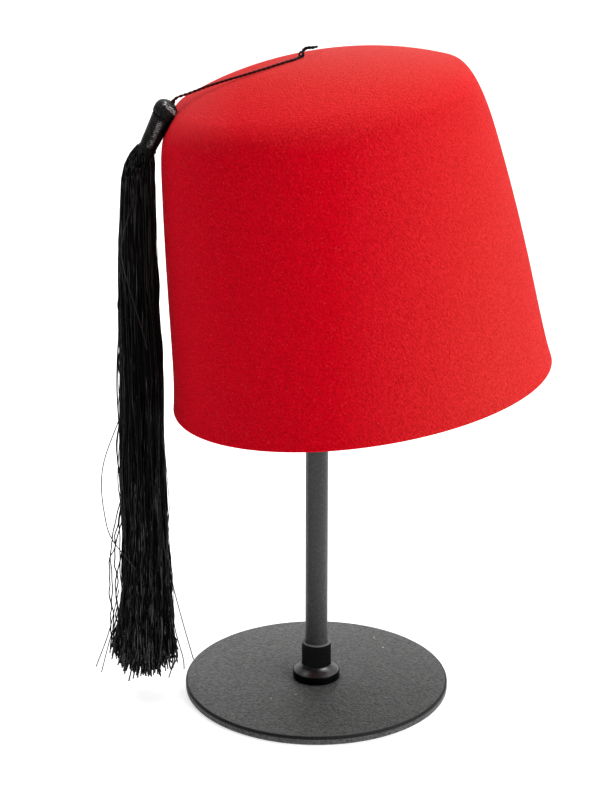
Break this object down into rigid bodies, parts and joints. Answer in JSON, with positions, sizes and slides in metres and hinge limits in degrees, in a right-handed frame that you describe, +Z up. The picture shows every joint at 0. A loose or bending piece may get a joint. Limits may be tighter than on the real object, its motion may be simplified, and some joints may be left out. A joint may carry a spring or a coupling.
{
  "type": "fez hat on a plain hat stand",
  "caption": "Soft red felt fez with a flat-domed crown and a long black tassel on a twisted cord, resting tilted on a plain round-based metal hat stand.",
  "frame": {"origin": "middle of the stand's flat underside, on the post's axis", "axes": "+Z up along the stand's post; -Y towards the hat's front, from which the picture is taken; -X towards the tassel"},
  "size_m": [0.2198, 0.1888, 0.3315],
  "materials": {
    "felt": "fine brushed wool felt, bright red",
    "tassel_thread": "black silky twisted thread",
    "stand_coat": "fine-textured charcoal powder coat",
    "collar_coat": "semi-gloss black paint",
    "stand_head": "plain matte black"
  },
  "bodies": {
    "root": {"felt_body": "felt", "crown_knot": "tassel_thread", "tassel_cord": "tassel_thread", "tassel_head": "tassel_thread", "tassel_skirt": "tassel_thread", "stand_base": "stand_coat", "stand_collar": "collar_coat", "stand_post": "stand_coat", "stand_head": "stand_head"}
  },
  "joints": []
}
